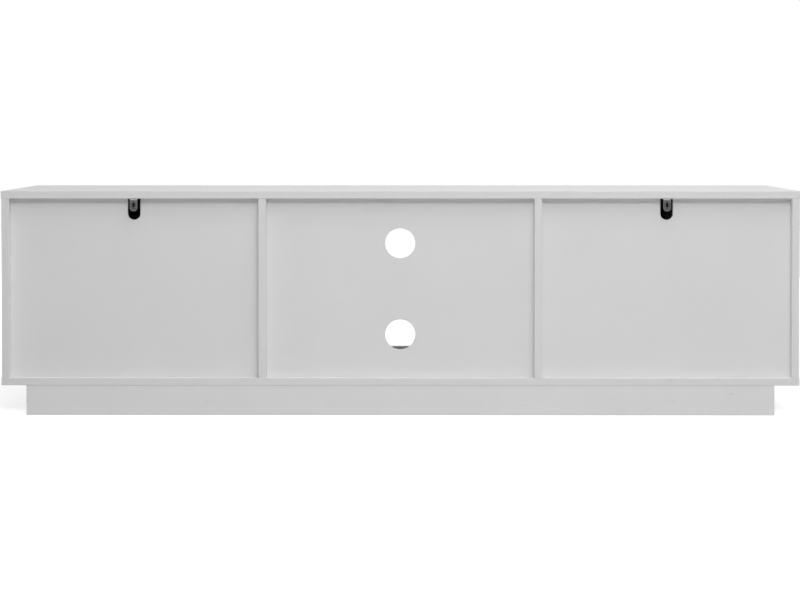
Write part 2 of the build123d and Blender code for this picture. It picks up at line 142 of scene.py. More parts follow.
class Pattern:
    """A material being made: its nodes, and the place on the piece that they follow."""

    def __init__(self, name: str) -> None:
        """Start an empty material.

        Args:
            name: Name of the material.
        """
        self.material = bpy.data.materials.new(name)
        self.material.use_nodes = True
        self.material.node_tree.nodes.clear()
        self.add = partial(add_node, self.material.node_tree)
        self.place = self.add("TexCoord", output="Object")

    def marks(self, size_mm: float, detail: float, stretch: Sequence[float] = (1, 1, 1)) -> Socket:
        """Draw cloudy marks of one size.

        Args:
            size_mm: Size of a mark.
            detail: How many finer layers ride on it.
            stretch: How many times longer the marks run along each axis.

        Returns:
            A value from 0 to 1, mostly near the middle.
        """
        spot = self.add("Mapping", {"Vector": self.place, "Scale": tuple(1.0 / s for s in stretch)})
        return self.add("TexNoise", {"Vector": spot, "Scale": per_metre(size_mm), "Detail": detail})

    def speckle(self, fleck_mm: float, cloud_mm: float, fleck_share: float) -> Socket:
        """Draw fine flecks over slow clouds.

        Args:
            fleck_mm: Size of the flecks.
            cloud_mm: Size of the clouds.
            fleck_share: How much of the change is in the flecks.

        Returns:
            A value from 0 to 1, mostly near the middle.
        """
        flecks = self.add("Math", (self.marks(fleck_mm, 1.0), fleck_share), operation="MULTIPLY")
        clouds = self.add("Math", (self.marks(cloud_mm, 3.0), 1.0 - fleck_share), operation="MULTIPLY")
        return self.add("Math", (flecks, clouds), operation="ADD")

    def layered(self, base: Socket | str, *layers: tuple[Socket, Socket | str]) -> Socket:
        """Lay colours one over another.

        Args:
            base: Colour underneath, as a hex colour or a socket.
            layers: How far each layer covers what is under it, from 0 to 1, and its colour.

        Returns:
            The colour that shows.
        """
        for cover, colour in layers:
            under, over = (linear(c) if isinstance(c, str) else c for c in (base, colour))
            base = self.add("Mix", {0: cover, 6: under, 7: over}, 2, data_type="RGBA")
        return base

    def finish(self, **inputs: Socket | float) -> Material:
        """Close the material with one shader.

        Args:
            inputs: Values or sockets for the shader's inputs, with _ for each space in their names.

        Returns:
            The material.
        """
        shader = self.add("BsdfPrincipled", {name.replace("_", " "): value for name, value in inputs.items()})
        self.add("OutputMaterial", {"Surface": shader})
        return self.material


class Banding(Enum):
    """Which edges of a board carry edge band, as the axes that run across those edges."""

    ALL_ROUND = "xyz"
    FRONT_AND_REAR = "y"
    ENDS = "x"
    UPPER = "z"


class StrapMark(Enum):
    """Marks kept at the points of a strap's mesh as a share from 0 to 1: where it is pressed, which takes
    painted shade, and the stretch of the bend that takes a painted highlight.
    """

    PRESSED = "pressed"
    BURNISHED = "burnished"


@dataclass(frozen=True)
class MelamineBoard:
    """Particle board faced with white melamine paper and edged with white ABS band.

    The facing was cured against a finely pebbled steel sheet, so it is flat white with a broken, satin
    highlight. The extruded band is smoother, and a touch darker than the face as painted shade on the edges;
    its glue line is a hairline just inside the edge.
    """

    tones: Tones = ("#E1E1E1", "#EFEFEF")
    # The band's colour is a touch darker than the face: painted shade that keeps the open edges as dim as the
    # face.
    band: str = "#E4E4E4"
    glue: str = "#C4C3C0"
    rub: str = "#C9C8C5"
    scuff: str = "#B9B9B7"
    roughness: Span = (0.5, 0.6)
    band_roughness: float = 0.42
    ior: float = 1.5
    cloud_mm: float = 120.0
    fleck_mm: float = 2.4
    fleck_share: float = 0.6
    # The real pebble is about 0.4 mm across; it is drawn coarser so that it shows.
    pebble_mm: float = 1.5
    pebble_depth_mm: float = 0.03
    band_mm: float = 1.0
    band_blur_mm: float = 0.1
    glue_mm: float = 0.3
    glue_share: float = 0.5
    # Edges are rubbed in patches, which fade in as the marks rise through the span.
    rub_mm: float = 30.0
    rub_reach_mm: float = 2.5
    rub_span: Span = (0.64, 0.8)
    rub_share: float = 0.25
    # Shoes and brooms leave a few level streaks, which fade in the same way.
    scuff_mm: float = 8.0
    scuff_stretch: Place = (5, 5, 1)
    scuff_span: Span = (0.65, 0.78)
    scuff_share: float = 0.35

    def make(self, node: str, banding: Banding, kicked: bool) -> Material:
        """Make the board's material, fitted to its size.

        Args:
            node: Board that wears it.
            banding: Which of its edges are banded.
            kicked: Whether it stands where shoes and brooms reach it.

        Returns:
            The material.
        """
        pattern = Pattern(f"melamine_{node}")
        add = pattern.add
        band = self.band_mm * MM
        half_glue = self.glue_mm * MM / 2
        inside = self.edge_distance(pattern, node, banding)
        on_band = add("MapRange", (inside, band - self.band_blur_mm * MM, band, 1.0, 0.0))
        on_glue = add("Math", (inside, band + half_glue, half_glue), operation="COMPARE")
        near_edge = add("MapRange", (inside, 0.0, self.rub_reach_mm * MM, self.rub_share, 0.0))
        patches = add("MapRange", (pattern.marks(self.rub_mm, 5.0), *self.rub_span, 0.0, 1.0))
        layers = [
            (pattern.speckle(self.fleck_mm, self.cloud_mm, self.fleck_share), self.tones[1]),
            # The band's colour carries painted shade on the banded edges.
            (on_band, self.band),
            (add("Math", (on_glue, self.glue_share), operation="MULTIPLY"), self.glue),
            (add("Math", (near_edge, patches), operation="MULTIPLY"), self.rub),
        ]
        if kicked:
            streaks = pattern.marks(self.scuff_mm, 4.0, self.scuff_stretch)
            layers.append((add("MapRange", (streaks, *self.scuff_span, 0.0, self.scuff_share)), self.scuff))
        pebble = pattern.marks(self.pebble_mm, 1.0)
        gloss = add("MapRange", (pebble, *NOISE_SPAN, *self.roughness))
        satin = add("Math", (on_band, self.band_roughness - sum(self.roughness) / 2), operation="MULTIPLY")
        off_band = add("Math", (1.0, on_band), operation="SUBTRACT")
        relief = {"Height": pebble, "Distance": self.pebble_depth_mm * MM, "Strength": off_band}
        return pattern.finish(
            Base_Color=pattern.layered(self.tones[0], *layers),
            Roughness=add("Math", (gloss, satin), operation="ADD"),
            IOR=self.ior,
            Normal=add("Bump", relief),
        )

    def edge_distance(self, pattern: Pattern, node: str, banding: Banding) -> Socket:
        """Measure how far a point lies inside the board's nearest banded edge.

        Args:
            pattern: Material being made.
            node: Board that wears it.
            banding: Which of its edges are banded.

        Returns:
            The distance in metres.
        """
        add = pattern.add
        low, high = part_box(node)
        half = (high - low) / 2
        thin = min(range(3), key=lambda axis: half[axis])
        centred = add("VectorMath", (pattern.place, (low + high) / 2), operation="SUBTRACT")
        away = add("VectorMath", (centred,), operation="ABSOLUTE")
        inside = add("VectorMath", (half, away), operation="SUBTRACT")
        axes = [axis for axis in range(3) if axis != thin and "xyz"[axis] in banding.value]
        nearest = add("SeparateXYZ", (inside,), axes[0])
        for axis in axes[1:]:
            nearest = add("Math", (nearest, add("SeparateXYZ", (inside,), axis)), operation="MINIMUM")
        return nearest


@dataclass(frozen=True)
class LacquerBoard:
    """Hardboard rolled with white lacquer on both faces, its cut edges sealed white.

    The roller leaves a faint orange peel and slow clouds in an even matt white; the sawn edges are a little
    rougher.
    """

    tones: Tones = ("#E0E0E0", "#EEEEEE")
    cut: str = "#EAEAE9"
    roughness: Span = (0.52, 0.62)
    ior: float = 1.5
    cloud_mm: float = 150.0
    fleck_mm: float = 2.4
    fleck_share: float = 0.6
    peel_mm: float = 3.0
    peel_depth_mm: float = 0.02
    # How squarely a surface faces the front or rear, from 0 to 1, where it turns from cut edge to face.
    cut_facing: Span = (0.3, 0.6)
    cut_roughness: float = 0.2
    # Sawn fibres are about 0.1 mm thick; they are drawn coarser so that they show.
    fibre_mm: float = 0.8
    fibre_stretch: Place = (1, 4, 1)

    def make(self) -> Material:
        """Make the material that all back panels share.

        Returns:
            The material.
        """
        pattern = Pattern("lacquered_hardboard")
        add = pattern.add
        to_rear = add("SeparateXYZ", (add("TexCoord", output="Normal"),), 1)
        on_cut = add("MapRange", (add("Math", (to_rear,), operation="ABSOLUTE"), *self.cut_facing, 1.0, 0.0))
        fibre = pattern.marks(self.fibre_mm, 3.0, self.fibre_stretch)
        sawn = pattern.layered(self.tones[0], (fibre, self.cut))
        shade = pattern.speckle(self.fleck_mm, self.cloud_mm, self.fleck_share)
        peel = pattern.marks(self.peel_mm, 1.0)
        gloss = add("MapRange", (peel, *NOISE_SPAN, *self.roughness))
        rougher = add("Math", (on_cut, self.cut_roughness), operation="MULTIPLY")
        return pattern.finish(
            Base_Color=pattern.layered(self.tones[0], (shade, self.tones[1]), (on_cut, sawn)),
            Roughness=add("Math", (gloss, rougher), operation="ADD"),
            IOR=self.ior,
            Normal=add("Bump", {"Height": peel, "Distance": self.peel_depth_mm * MM}),
        )


@dataclass(frozen=True)
class PlatedMetal:
    """Pressed, turned or cast metal under a thin plating, with the cloud and grain its making left."""

    name: str
    tones: Tones
    roughness: Span
    cloud_mm: float
    grain_mm: float
    grain_depth_mm: float
    stretch: Place = (1, 1, 1)
    # Cloud and grain added together go from the first tone to the second over this span.
    tone_span: Span = (0.7, 1.3)

    def make(self) -> Material:
        """Make the metal's material.

        Returns:
            The material.
        """
        pattern = Pattern(self.name)
        add = pattern.add
        grain = pattern.marks(self.grain_mm, 3.0, self.stretch)
        both = add("Math", (pattern.marks(self.cloud_mm, 4.0), grain), operation="ADD")
        shade = add("MapRange", (both, *self.tone_span, 0.0, 1.0))
        return pattern.finish(
            Base_Color=self.tint(pattern, pattern.layered(self.tones[0], (shade, self.tones[1]))),
            Metallic=1.0,
            Roughness=self.polish(pattern, add("MapRange", (grain, *NOISE_SPAN, *self.roughness))),
            Normal=add("Bump", {"Height": grain, "Distance": self.grain_depth_mm * MM}),
        )

    def tint(self, pattern: Pattern, colour: Socket) -> Socket:
        """Colour with the painted shade and highlight of a worked piece laid over it; plain stock keeps its
        own.
        """
        return colour

    def polish(self, pattern: Pattern, roughness: Socket) -> Socket:
        """Roughness after what working the metal did to it; plain stock keeps its own."""
        return roughness


@dataclass(frozen=True)
class FoldedStrap(PlatedMetal):
    """Phosphated strap after pressing and folding.

    The pressed groove round the slot is painted darker as painted shade, and the outside of the bend is
    painted pale and made smoother as a painted highlight.
    """

    # Painted shade in the pressed groove round the slot.
    painted_groove_shade: str = "#505152"
    # Painted highlight on the outside of the bend, which is also made smoother.
    painted_bend_highlight: str = "#DCDCDB"
    highlight_roughness: float = 0.3

    def tint(self, pattern: Pattern, colour: Socket) -> Socket:
        """Paint shade into the pressed groove and a highlight onto the outside of the bend.

        Args:
            pattern: Material being made.
            colour: Colour of the plain stock.

        Returns:
            The colour with the painted shade and highlight laid over it.
        """
        pressed, burnished = (pattern.add("Attribute", (), "Fac", attribute_name=m.value) for m in StrapMark)
        # Painted shade in the pressed groove, and a painted highlight on the bend.
        return pattern.layered(colour, (pressed, self.painted_groove_shade), (burnished, self.painted_bend_highlight))

    def polish(self, pattern: Pattern, roughness: Socket) -> Socket:
        """Smooth the bend.

        Args:
            pattern: Material being made.
            roughness: Roughness of the plain stock.

        Returns:
            The roughness of the worked strap.
        """
        burnished = pattern.add("Attribute", (), "Fac", attribute_name=StrapMark.BURNISHED.value)
        full_change = self.highlight_roughness - sum(self.roughness) / 2
        change = pattern.add("Math", (burnished, full_change), operation="MULTIPLY")
        return pattern.add("Math", (roughness, change), operation="ADD")


# Bright zinc on pressed steel: pale blue-grey, with a clouded, half-sharp reflection.
ZINC_STEEL = PlatedMetal("zinc_plated_steel", ("#A9ACAF", "#C6C8CA"), (0.28, 0.42), 9.0, 0.9, 0.01)
# Phosphated strap steel: dull dark grey, with a blurred reflection and a fine etched grain.
GREY_STEEL = FoldedStrap("phosphated_steel", ("#666768", "#747576"), (0.42, 0.55), 6.0, 0.7, 0.012)
# Barrel-plated nickel on hinge steel: faintly warm silver, close to a mirror, with the strip's drawing lines.
NICKEL_STEEL = PlatedMetal(
    "nickel_plated_steel", ("#BCBAB6", "#D0CECA"), (0.18, 0.3), 12.0, 0.8, 0.006, (1, 6, 1)
)
# Die-cast zinc alloy: flat mid grey with a sandy skin from the mould.
CAST_ZINC = PlatedMetal("die_cast_zinc", ("#8F9193", "#ABADAF"), (0.42, 0.58), 5.0, 0.8, 0.02)


@dataclass(frozen=True)
class BeechDowel:
    """Planed beech rod: pale tan, with short darker flecks along the grain and no varnish."""

    tones: Tones = ("#C79F74", "#DDBD93")
    fleck: str = "#A9784A"
    roughness: Span = (0.6, 0.75)
    ior: float = 1.5
    grain_mm: float = 1.2
    grain_stretch: Place = (1, 1, 14)
    grain_depth_mm: float = 0.03
    fleck_mm: float = 0.6
    fleck_stretch: Place = (1, 1, 4)
    fleck_span: Span = (0.6, 0.7)
    fleck_share: float = 0.6

    def make(self) -> Material:
        """Make the wood's material.

        Returns:
            The material.
        """
        pattern = Pattern("planed_beech")
        add = pattern.add
        grain = pattern.marks(self.grain_mm, 3.0, self.grain_stretch)
        spots = pattern.marks(self.fleck_mm, 2.0, self.fleck_stretch)
        flecks = add("MapRange", (spots, *self.fleck_span, 0.0, self.fleck_share))
        return pattern.finish(
            Base_Color=pattern.layered(self.tones[0], (grain, self.tones[1]), (flecks, self.fleck)),
            Roughness=add("MapRange", (grain, *NOISE_SPAN, *self.roughness)),
            IOR=self.ior,
            Normal=add("Bump", {"Height": grain, "Distance": self.grain_depth_mm * MM}),
        )


@dataclass(frozen=True)
class MouldedPlastic:
    """Grey ABS from a spark-eroded mould: an even, slightly sparkling matt skin."""

    tones: Tones = ("#9A9C9E", "#A6A8AA")
    roughness: Span = (0.42, 0.55)
    ior: float = 1.53
    # The eroded pits are about 0.05 mm across; they are drawn coarser so that they show.
    pit_mm: float = 0.5
    pit_depth_mm: float = 0.015
    cloud_mm: float = 14.0
    # Overmoulded rubber, darker and duller, which the plunger ends in.
    tip: str = "#54575A"
    tip_roughness: float = 0.25
    tip_seam_mm: float = 0.1

    def make(self, tip_from: float | None = None) -> Material:
        """Make the plastic's material.

        Args:
            tip_from: Place along Y, in metres, in front of which it is rubber; None for plastic all over.

        Returns:
            The material.
        """
        pattern = Pattern("moulded_grey_abs")
        add = pattern.add
        pits = pattern.marks(self.pit_mm, 2.0)
        colour = pattern.layered(self.tones[0], (pattern.marks(self.cloud_mm, 2.0), self.tones[1]))
        roughness = add("MapRange", (pits, *NOISE_SPAN, *self.roughness))
        if tip_from is not None:
            along = add("SeparateXYZ", (pattern.place,), 1)
            rubber = add("MapRange", (along, tip_from - self.tip_seam_mm * MM, tip_from, 1.0, 0.0))
            colour = pattern.layered(colour, (rubber, self.tip))
            duller = add("Math", (rubber, self.tip_roughness), operation="MULTIPLY")
            roughness = add("Math", (roughness, duller), operation="ADD")
        return pattern.finish(
            Base_Color=colour,
            Roughness=roughness,
            IOR=self.ior,
            Normal=add("Bump", {"Height": pits, "Distance": self.pit_depth_mm * MM}),
        )


@dataclass(frozen=True)
class ClearPolyurethane:
    """Cast clear polyurethane: soft domes, hazed by pressing, that take on the board's white."""

    tones: Tones = ("#D3D6D7", "#E3E5E5")
    roughness: Span = (0.06, 0.16)
    ior: float = 1.5
    haze_mm: float = 2.0
    clear_share: float = 0.2

    def make(self) -> Material:
        """Make the clear material.

        Returns:
            The material.
        """
        pattern = Pattern("clear_polyurethane")
        haze = pattern.marks(self.haze_mm, 3.0)
        return pattern.finish(
            Base_Color=pattern.layered(self.tones[0], (haze, self.tones[1])),
            Roughness=pattern.add("MapRange", (haze, *NOISE_SPAN, *self.roughness)),
            IOR=self.ior,
            Transmission_Weight=self.clear_share,
        )


def wear(node: str, material: Material) -> str:
    """Give a CAD node its finish in place of the plain one it came with.

    Args:
        node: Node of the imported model.
        material: Finish that it wears.

    Returns:
        The node's name.
    """
    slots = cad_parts[node].data.materials
    slots.clear()
    slots.append(material)
    return node


def new_piece(name: str, mesh: Mesh, material: Material) -> bpy.types.Object:
    """Turn a finished mesh into a dressed piece of the cabinet, smooth but for its creases.

    Args:
        name: Name of the piece.
        mesh: Its mesh, in the frame's metres; it is freed here.
        material: Finish that it wears.

    Returns:
        The new object.
    """
    data = bpy.data.meshes.new(name)
    mesh.to_mesh(data)
    mesh.free()
    data.materials.append(material)
    for polygon in data.polygons:
        polygon.use_smooth = True
    data.set_sharp_from_angle(angle=CREASE_ANGLE)
    piece = bpy.data.objects.new(name, data)
    bpy.context.scene.collection.objects.link(piece)
    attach(piece, "cabinet")
    return piece


def close_band(mesh: Mesh, first: Points, second: Points) -> None:
    """Fill the band between two rings of points with faces."""
    for i, point in enumerate(first):
        mesh.faces.new((first[i - 1], second[i - 1], second[i], point))


def turn_profile(mesh: Mesh, seat: Vector, profile: Sequence[Span], steps: int) -> list[Points]:
    """Turn a profile round a line that runs to the front from its seat, and fill the surface.

    Args:
        mesh: Mesh that takes it.
        seat: Where the line starts.
        profile: Radius and distance to the front of each point.
        steps: Number of points in a full turn.

    Returns:
        A ring of points for each point of the profile.
    """
    turns = [2 * math.pi * step / steps for step in range(steps)]
    rings = []
    for radius, out in profile:
        spokes = [Vector((radius * math.cos(turn), -out, radius * math.sin(turn))) for turn in turns]
        rings.append([mesh.verts.new(seat + spoke) for spoke in spokes])
    for lower, upper in zip(rings, rings[1:]):
        close_band(mesh, lower, upper)
    return rings


class SubAssembly:
    """A group of pieces that are made and dressed together."""

    def make(self) -> list[str]:
        """Build and dress the group, and return the names of its pieces."""
        raise NotImplementedError


@dataclass
class Boards(SubAssembly):
    """Melamine boards: the case, the shelf, the plinth and the doors."""

    finish: MelamineBoard = MelamineBoard()

    def make(self) -> list[str]:
        """Dress each board with band on the edges that show.

        Returns:
            The names of the boards.
        """
        banding = {"top_panel": Banding.ALL_ROUND, "bottom_panel": Banding.ALL_ROUND}
        banding |= {"centre_shelf": Banding.FRONT_AND_REAR, "front_lip_rail": Banding.UPPER}
        banding |= {"plinth_front_board": Banding.ENDS, "plinth_rear_board": Banding.ENDS}
        for side in SIDES:
            uprights = (f"{side}_side_panel", f"{side}_divider")
            footings = (f"plinth_{side}_end", f"plinth_{side}_brace")
            for board in (*uprights, *footings):
                banding[board] = Banding.FRONT_AND_REAR
            banding[f"{side}_door"] = Banding.ALL_ROUND
        dressed = []
        for node, edges in banding.items():
            dressed.append(wear(node, self.finish.make(node, edges, kicked="plinth" in node)))
        return dressed


@dataclass
class BackPanels(SubAssembly):
    """Thin lacquered panels in the grooves behind the bays."""

    finish: LacquerBoard = LacquerBoard()

    def make(self) -> list[str]:
        """Dress the three panels."""
        lacquer = self.finish.make()
        return [wear(f"{place}_back_panel", lacquer) for place in (*SIDES, "centre")]


@dataclass
class WallAnchors(SubAssembly):
    """Steel straps under the top panel, bent down in the notches, pressed round the slot to stiffen them."""

    thickness: float = 1.5 * MM
    bend_radius: float = 3.0 * MM
    end_radius: float = 7.4 * MM
    slot_radius: float = 2.5 * MM
    slot_reach: float = 2.3 * MM
    slot_drop: float = 12.8 * MM
    ring_width: float = 1.0 * MM
    rim_width: float = 1.8 * MM
    slope: float = 0.4 * MM
    press_depth: float = 0.7 * MM
    edge_round: float = 0.25 * MM
    screw_hole_radius: float = 1.9 * MM
    screw_shares: Span = (0.68, 0.88)
    # Turns of the bend, from the leg, between which it takes the painted highlight.
    highlight_turn: Span = (math.radians(12), math.radians(89))
    arc_steps: int = 16
    bend_steps: int = 8
    edge_segments: int = 2
    # Points nearer than this to a bend line count as on it.
    line_slack: float = 0.0001 * MM
    finish: FoldedStrap = GREY_STEEL

    def make(self) -> list[str]:
        """Build both straps in place of their plain solids."""
        material = self.finish.make()
        return [self.build(f"{side}_wall_anchor", material) for side in SIDES]

    def build(self, node: str, material: Material) -> str:
        """Build one strap where its solid is.

        Args:
            node: Solid that it stands for.
            material: Finish that it wears.

        Returns:
            The name of the new piece.
        """
        low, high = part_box(node)
        sheet = self.flat_sheet(high - low)
        self.fold(sheet, low, high)
        piece = new_piece(f"{node}_strap", sheet, material)
        wall = piece.modifiers.new("sheet_thickness", "SOLIDIFY")
        wall.thickness = self.thickness
        wall.offset = -1.0
        wall.use_even_offset = True
        edge = piece.modifiers.new("tumbled_edges", "BEVEL")
        edge.width = self.edge_round
        edge.segments = self.edge_segments
        edge.limit_method = "ANGLE"
        edge.angle_limit = CREASE_ANGLE
        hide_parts(node)
        return piece.name

    def lengths(self, size: Vector) -> Place:
        """Lengths along the outer skin of the leg, the bend and the strap."""
        return size.z - self.bend_radius, self.bend_radius * QUARTER_TURN, size.y - self.bend_radius

    def flat_sheet(self, size: Vector) -> Mesh:
        """Lay the strap's outer skin out flat, with its pressing, slot and screw holes.

        Args:
            size: Width, reach and drop of the folded strap.

        Returns:
            The flat skin: X across, Y along from the leg's lower end, Z out of the sheet.
        """
        sheet = bmesh.new()
        for mark in StrapMark:
            sheet.verts.layers.float.new(mark.value)
        leg, bend, strap = self.lengths(size)
        half = size.x / 2
        middle = size.z - self.slot_drop
        ring = self.slot_radius + self.ring_width
        rim = half - self.rim_width
        rim_up = leg - middle - rim - self.slope
        rim_down = middle - self.rim_width - rim
        floor_up = min(rim_up, self.slot_reach)
        steps = (
            (self.slot_radius, self.slot_reach, self.slot_reach, 0.0),
            (ring, self.slot_reach, self.slot_reach, 0.0),
            (ring + self.slope, self.slot_reach, self.slot_reach, -self.press_depth),
            (rim - self.slope, floor_up, rim_down, -self.press_depth),
            (rim, floor_up, rim_down, 0.0),
        )
        loops = [self.oval(sheet, middle, *step) for step in steps]
        for inner, outer in zip(loops, loops[1:]):
            close_band(sheet, inner, outer)
        border = self.outline(sheet, half, leg + bend + strap)
        for share in self.screw_shares:
            at = leg + bend + size.y * share - self.bend_radius
            border += self.joined(sheet, self.oval(sheet, at, self.screw_hole_radius, 0.0, 0.0, 0.0))
        border += [sheet.edges.get((loops[-1][i - 1], loops[-1][i])) for i in range(len(loops[-1]))]
        bmesh.ops.triangle_fill(sheet, edges=border, use_beauty=True, normal=(0, 0, 1))
        for step in range(self.bend_steps + 1):
            everything = sheet.verts[:] + sheet.edges[:] + sheet.faces[:]
            line = (0, leg + bend * step / self.bend_steps, 0)
            bmesh.ops.bisect_plane(
                sheet, geom=everything, plane_co=line, plane_no=(0, 1, 0), dist=self.line_slack
            )
        bmesh.ops.recalc_face_normals(sheet, faces=sheet.faces)
        return sheet

    def oval(self, sheet: Mesh, middle: float, radius: float, up: float, down: float, out: float) -> Points:
        """Add a ring of points round an upright oval.

        Args:
            sheet: Flat skin that takes them.
            middle: Place of the oval's middle along the skin.
            radius: Radius of its ends.
            up: How far its upper end's centre lies above the middle.
            down: How far its lower end's centre lies below the middle.
            out: Height of the ring over the sheet.

        Returns:
            The points in order.
        """
        ring = []
        pressed = sheet.verts.layers.float[StrapMark.PRESSED.value]
        for centre, start in ((middle + up, 0.0), (middle - down, math.pi)):
            for step in range(self.arc_steps + 1):
                if up == down == 0.0 and step == self.arc_steps:
                    continue
                turn = start + math.pi * step / self.arc_steps
                point = sheet.verts.new((radius * math.cos(turn), centre + radius * math.sin(turn), out))
                # Points pressed below the sheet take the painted shade of the groove.
                point[pressed] = 1.0 if out < 0.0 else 0.0
                ring.append(point)
        return ring

    def outline(self, sheet: Mesh, half: float, end: float) -> Edges:
        """Add the strap's flat outline, round at its lower end.

        Args:
            sheet: Flat skin that takes it.
            half: Half of the strap's width.
            end: Length of the whole skin.

        Returns:
            The outline's edges.
        """
        corner = self.end_radius
        points = []
        for side, start in ((-1, math.pi), (1, math.pi + QUARTER_TURN)):
            for step in range(self.arc_steps + 1):
                turn = start + QUARTER_TURN * step / self.arc_steps
                across = side * (half - corner) + corner * math.cos(turn)
                points.append((across, corner + corner * math.sin(turn), 0.0))
        points += [(half, end, 0.0), (-half, end, 0.0)]
        return self.joined(sheet, [sheet.verts.new(p) for p in points])

    def joined(self, sheet: Mesh, ring: Points) -> Edges:
        """Close a ring of points with edges."""
        return [sheet.edges.new((ring[i - 1], ring[i])) for i in range(len(ring))]

    def fold(self, sheet: Mesh, low: Vector, high: Vector) -> None:
        """Bend the flat skin into place, its leg facing the rear.

        Args:
            sheet: Flat skin.
            low: Lowest corner of the folded strap.
            high: Highest corner of the folded strap.
        """
        leg, bend, _ = self.lengths(high - low)
        middle = (low.x + high.x) / 2
        turn_y = high.y - self.bend_radius
        turn_z = high.z - self.bend_radius
        burnished = sheet.verts.layers.float[StrapMark.BURNISHED.value]
        highlight_from, highlight_to = self.highlight_turn
        for point in sheet.verts:
            across, along, out = point.co
            turn = min(max((along - leg) / self.bend_radius, 0.0), QUARTER_TURN)
            # Points on this stretch of the bend take the painted highlight.
            point[burnished] = 1.0 if highlight_from < turn < highlight_to else 0.0
            reach = self.bend_radius + out
            y = turn_y + reach * math.cos(turn) - max(along - leg - bend, 0.0)
            z = turn_z + reach * math.sin(turn) + min(along - leg, 0.0)
            point.co = (middle - across, y, z)
        bmesh.ops.recalc_face_normals(sheet, faces=sheet.faces)
        rear = max(sheet.faces, key=lambda face: face.calc_center_median().y)
        if rear.normal.y < 0:
            bmesh.ops.reverse_faces(sheet, faces=sheet.faces)


@dataclass
class DoorBumpers(SubAssembly):
    """Clear domes on the dividers' front edges, which the doors close against."""

    radius: float = 4.0 * MM
    skirt: float = 0.4 * MM
    round_steps: int = 40
    rise_steps: int = 9
    finish: ClearPolyurethane = ClearPolyurethane()

    def make(self) -> list[str]:
        """Build the four domes as one piece in place of their plain solids.

        Returns:
            The name of the piece.
        """
        low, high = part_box("door_bumpers")
        domes = bmesh.new()
        for x in (low.x + self.radius, high.x - self.radius):
            for z in (low.z + self.radius, high.z - self.radius):
                self.dome(domes, Vector((x, high.y, z)), high.y - low.y)
        bmesh.ops.recalc_face_normals(domes, faces=domes.faces)
        piece = new_piece("clear_bumper_domes", domes, self.finish.make())
        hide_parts("door_bumpers")
        return [piece.name]

    def dome(self, domes: Mesh, seat: Vector, height: float) -> None:
        """Add one dome that stands on the divider's edge.

        Args:
            domes: Mesh that takes it.
            seat: Centre of its flat back.
            height: How far it stands out to the front.
        """
        profile = [(self.radius, 0.0), (self.radius, self.skirt)]
        for step in range(1, self.rise_steps):
            turn = QUARTER_TURN * step / self.rise_steps
            rise = (height - self.skirt) * math.sin(turn)
            profile.append((self.radius * math.cos(turn), self.skirt + rise))
        rings = turn_profile(domes, seat, profile, self.round_steps)
        tip = domes.verts.new(seat - Vector((0.0, height, 0.0)))
        for i, point in enumerate(rings[-1]):
            domes.faces.new((rings[-1][i - 1], point, tip))
        domes.faces.new(rings[0])


@dataclass
class Hinges(SubAssembly):
    """Concealed cup hinges: nickel-plated cups, arms, plates, links and rivets."""

    finish: PlatedMetal = NICKEL_STEEL

    def make(self) -> list[str]:
        """Dress every piece of the four hinges.

        Returns:
            The names of the pieces.
        """
        nickel = self.finish.make()
        nodes = ["hinge_arm_rivets"]
        for side in SIDES:
            nodes.append(f"{side}_hinge_cup_rivets")
            for place in HINGE_PLACES:
                for piece in ("cup", "arm", "plate", "main_link", "guide_link"):
                    nodes.append(f"{side}_{place}_hinge_{piece}")
        return [wear(node, nickel) for node in nodes]


@dataclass
class PushLatches(SubAssembly):
    """Moulded push latches on the dividers: a collar round each mouth, a rubber tip on each plunger."""

    collar_radius: float = 7.4 * MM
    collar_bore: float = 5.7 * MM
    collar_height: float = 0.9 * MM
    collar_round: float = 0.4 * MM
    tip_length: float = 3.0 * MM
    round_steps: int = 48
    arc_steps: int = 4
    finish: MouldedPlastic = MouldedPlastic()

    def make(self) -> list[str]:
        """Dress the latch bodies and plungers, and add the collars.

        Returns:
            The names of the pieces.
        """
        plastic = self.finish.make()
        tipped = self.finish.make(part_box("left_latch_plunger")[0].y + self.tip_length)
        made = []
        for side in SIDES:
            made.append(wear(f"{side}_latch_body", plastic))
            made.append(wear(f"{side}_latch_plunger", tipped))
            made.append(self.collar(side, plastic))
        return made

    def collar(self, side: str, plastic: Material) -> str:
        """Add the rounded ring that stands round the plunger on the body's front.

        Args:
            side: Side of the stand that the latch is on.
            plastic: Finish that it wears.

        Returns:
            The name of the new piece.
        """
        low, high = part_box(f"{side}_latch_plunger")
        seat = Vector(((low.x + high.x) / 2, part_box(f"{side}_latch_body")[0].y, (low.z + high.z) / 2))
        corner = self.collar_round
        profile = [(self.collar_bore, 0.0)]
        rounds = ((self.collar_bore + corner, math.pi), (self.collar_radius - corner, QUARTER_TURN))
        for centre, start in rounds:
            for step in range(self.arc_steps + 1):
                turn = start - QUARTER_TURN * step / self.arc_steps
                out = self.collar_height - corner + corner * math.sin(turn)
                profile.append((centre + corner * math.cos(turn), out))
        profile.append((self.collar_radius, 0.0))
        collar = bmesh.new()
        rings = turn_profile(collar, seat, profile, self.round_steps)
        close_band(collar, rings[-1], rings[0])
        bmesh.ops.recalc_face_normals(collar, faces=collar.faces)
        return new_piece(f"{side}_latch_collar", collar, plastic).name


@dataclass
class Fasteners(SubAssembly):
    """Screws, pins, brackets, cams, bolts and dowels that hold the boards together."""

    zinc: PlatedMetal = ZINC_STEEL
    cast: PlatedMetal = CAST_ZINC
    wood: BeechDowel = BeechDowel()

    def make(self) -> list[str]:
        """Dress each kind of fastener.

        Returns:
            The names of the groups of fasteners.
        """
        zinc = self.zinc.make()
        nodes = ["case_screws", "cam_bolts", "shelf_pins", "plinth_angle_brackets"]
        for side in SIDES:
            nodes += [f"{side}_door_screws", f"{side}_strike_plate"]
        dressed = [wear(node, zinc) for node in nodes]
        dressed.append(wear("cam_discs", self.cast.make()))
        dressed.append(wear("dowels", self.wood.make()))
        return dressed


